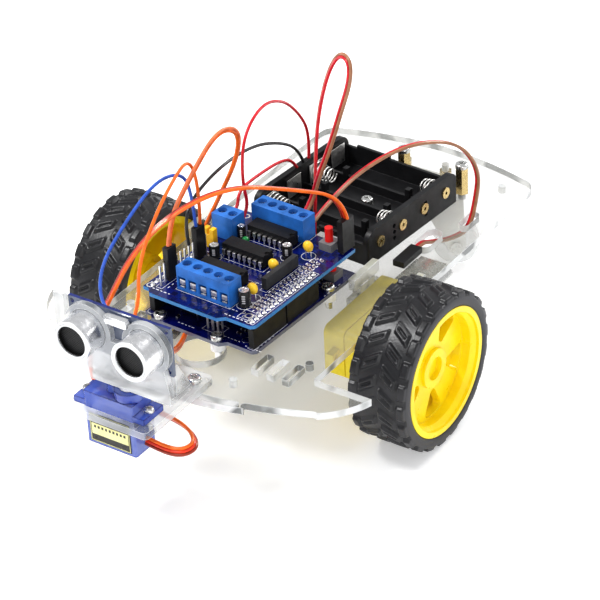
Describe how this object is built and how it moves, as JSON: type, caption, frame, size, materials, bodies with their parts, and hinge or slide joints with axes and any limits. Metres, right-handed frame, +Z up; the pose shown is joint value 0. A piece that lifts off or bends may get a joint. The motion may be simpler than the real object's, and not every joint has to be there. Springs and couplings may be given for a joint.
{
  "type": "two wheel robot car",
  "caption": "Small two wheel robot car: clear deck on geared motors and a rear caster, open cell holder, stacked controller boards and a panning distance sensor.",
  "frame": {"origin": "on the ground, in the middle of the car's box without its leads", "axes": "+Z up, the car's front faces -Y, +X is the car's left"},
  "size_m": [0.16, 0.2434, 0.1429],
  "materials": {
    "clear_acrylic": "polished clear sheet",
    "yellow_plastic": "moulded",
    "tyre_rubber": "ribbed rubber",
    "steel": "plated",
    "brass": "turned",
    "white_nylon": "milky",
    "black_plastic": "fine grain",
    "navy_board": "solder mask",
    "blue_board": "solder mask",
    "sensor_blue": "solder mask",
    "pin_metal": "plated",
    "terminal_blue": "moulded",
    "bead_yellow": "dipped",
    "can_sleeve": "sleeved aluminium",
    "resistor_grey": "coated",
    "led_green": "clear tinted",
    "jumper_yellow": "moulded",
    "switch_grey": "moulded",
    "red_cap": "moulded",
    "servo_blue": "clear tinted",
    "aluminium": "satin",
    "mesh_metal": "fine mesh",
    "wire_triple": "insulation",
    "wire_orange": "insulation",
    "wire_blue": "insulation",
    "wire_red": "insulation",
    "wire_black": "insulation"
  },
  "bodies": {
    "chassis": {"deck_plate": "clear_acrylic", "motor_brackets": "clear_acrylic", "left_gearbox": "yellow_plastic", "right_gearbox": "yellow_plastic", "motor_cans": "steel", "motor_bolts": "steel", "brass_standoffs": "brass", "caster_base": "white_nylon", "battery_box": "black_plastic", "battery_contacts": "steel", "battery_rivets": "brass", "controller_board": "navy_board", "shield_board": "blue_board", "board_spacers": "white_nylon", "controller_headers": "black_plastic", "header_pins": "pin_metal", "usb_socket": "steel", "power_jack": "black_plastic", "logic_chips": "black_plastic", "chip_pins": "pin_metal", "terminal_blocks": "terminal_blue", "terminal_screws": "steel", "bead_capacitors": "bead_yellow", "can_capacitors": "can_sleeve", "resistor_network": "resistor_grey", "status_led": "led_green", "power_jumper": "jumper_yellow", "reset_switches": "switch_grey", "wire_plugs": "black_plastic", "servo_holder": "clear_acrylic", "servo_case": "servo_blue", "deck_screws": "steel", "servo_lead": "wire_triple", "sensor_power_lead": "wire_orange", "echo_lead": "wire_blue", "trigger_lead": "wire_orange", "right_motor_lead": "wire_red", "left_motor_lead": "wire_red", "battery_red_lead": "wire_red", "battery_black_lead": "wire_black", "supply_red_lead": "wire_red"},
    "left_wheel": {"left_shaft": "white_nylon", "left_rim": "yellow_plastic", "left_tyre": "tyre_rubber"},
    "right_wheel": {"right_shaft": "white_nylon", "right_rim": "yellow_plastic", "right_tyre": "tyre_rubber"},
    "caster_swivel": {"caster_fork": "white_nylon", "caster_axle": "steel"},
    "caster_roller": {"caster_wheel": "white_nylon"},
    "sensor_head": {"servo_horn": "white_nylon", "head_bracket": "clear_acrylic", "sensor_board": "sensor_blue", "sensor_plug": "black_plastic", "sensor_cans": "aluminium", "sensor_meshes": "mesh_metal", "head_screws": "steel"},
    "controller_button": {"controller_reset_button": "red_cap"},
    "shield_button": {"shield_reset_button": "red_cap"}
  },
  "joints": [
    {"name": "left_wheel_spin", "type": "hinge", "parent": "chassis", "child": "left_wheel", "pos_m": [0.067, -0.0074, 0.0327], "axis": [1, 0, 0], "continuous": true},
    {"name": "right_wheel_spin", "type": "hinge", "parent": "chassis", "child": "right_wheel", "pos_m": [-0.067, -0.0074, 0.0327], "axis": [1, 0, 0], "continuous": true},
    {"name": "caster_swivel", "type": "hinge", "parent": "chassis", "child": "caster_swivel", "pos_m": [0, 0.1006, 0.034], "axis": [0, 0, 1], "continuous": true},
    {"name": "caster_roll", "type": "hinge", "parent": "caster_swivel", "child": "caster_roller", "pos_m": [0.01442, 0.10961, 0.01], "axis": [-0.5299, 0.848, 0], "continuous": true},
    {"name": "head_pan", "type": "hinge", "parent": "chassis", "child": "sensor_head", "pos_m": [0.005, -0.1074, 0.06], "axis": [0, 0, 1], "range_deg": [-40, 40]},
    {"name": "controller_button_press", "type": "slide", "parent": "chassis", "child": "controller_button", "axis": [0, 0, -1], "range_m": [0, 0.0003], "stiffness_N_per_m": 200},
    {"name": "shield_button_press", "type": "slide", "parent": "chassis", "child": "shield_button", "axis": [0, 0, -1], "range_m": [0, 0.0003], "stiffness_N_per_m": 200}
  ]
}
